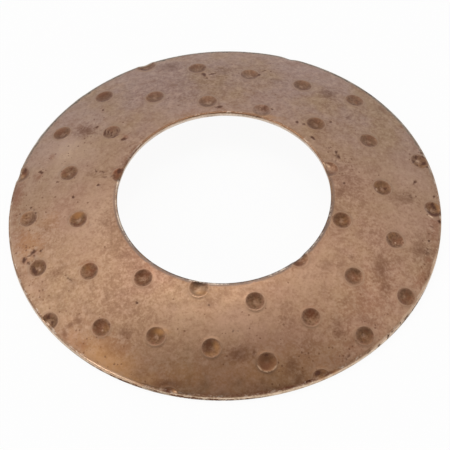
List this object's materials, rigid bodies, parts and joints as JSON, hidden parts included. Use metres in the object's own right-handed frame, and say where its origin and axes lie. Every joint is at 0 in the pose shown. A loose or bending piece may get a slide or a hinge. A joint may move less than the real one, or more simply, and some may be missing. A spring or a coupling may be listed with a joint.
{
  "type": "spherical differential washer",
  "caption": "Thin spherical thrust washer of worn bronze sheet, with a central bore and a slanted grid of pressed grease pockets, that seats behind a differential pinion.",
  "frame": {"origin": "centre of the circle on which the rim's lowest edge stands", "axes": "+Z along the bore axis, out of the convex face; +Y away from the camera"},
  "size_m": [0.072, 0.072, 0.0069],
  "materials": {
    "bronze": "dull, worn and stained tin bronze"
  },
  "bodies": {
    "root": {"washer": "bronze"}
  },
  "joints": []
}
